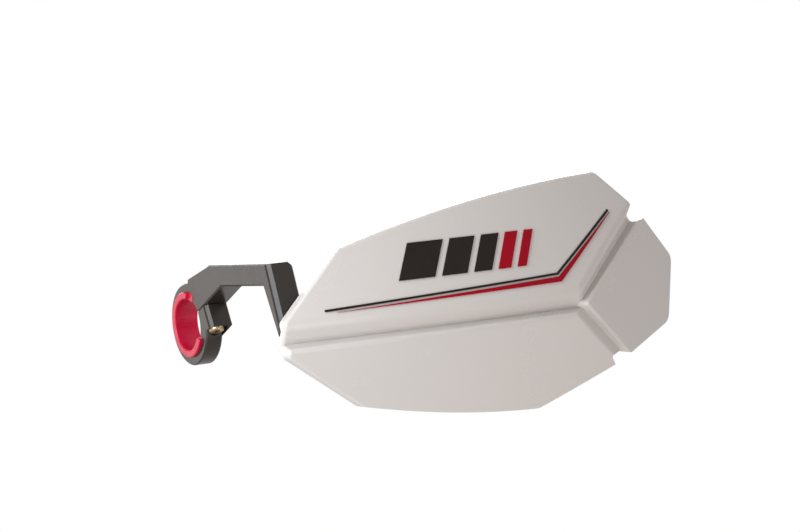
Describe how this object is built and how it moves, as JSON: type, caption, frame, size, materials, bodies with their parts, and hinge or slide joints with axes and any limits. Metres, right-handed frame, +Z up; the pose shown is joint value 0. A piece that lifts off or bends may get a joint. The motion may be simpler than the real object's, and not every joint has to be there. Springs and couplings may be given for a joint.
{
  "type": "motorcycle hand guard",
  "caption": "Faceted plastic hand guard on a hooked bracket whose split clamp and bush grip a motorcycle handlebar, to shield the rider's hand and lever.",
  "frame": {"origin": "on the axis of the clamp's bore, where the handlebar passes, in the middle of the bracket arm's width", "axes": "+X along the handlebar towards its outer end, -Y forward to the shield, +Z up"},
  "size_m": [0.2122, 0.1191, 0.0985],
  "materials": {
    "shield_plastic": "satin moulded white",
    "bracket_plastic": "moulded charcoal, satin",
    "bush_plastic": "moulded red, semi-gloss",
    "yellow_zinc": "yellow zinc plate",
    "insert_brass": "turned",
    "zinc_steel": "zinc plate",
    "black_film": "printed film, gloss",
    "red_film": "printed film, gloss"
  },
  "bodies": {
    "root": {"shield": "shield_plastic", "bracket": "bracket_plastic", "bar_bush": "bush_plastic", "clamp_screw": "yellow_zinc", "clamp_insert": "insert_brass", "shield_screw_inner": "zinc_steel", "shield_screw_outer": "zinc_steel", "shield_washer_inner": "zinc_steel", "shield_washer_outer": "zinc_steel", "decal_black": "black_film", "decal_red": "red_film"}
  },
  "joints": []
}
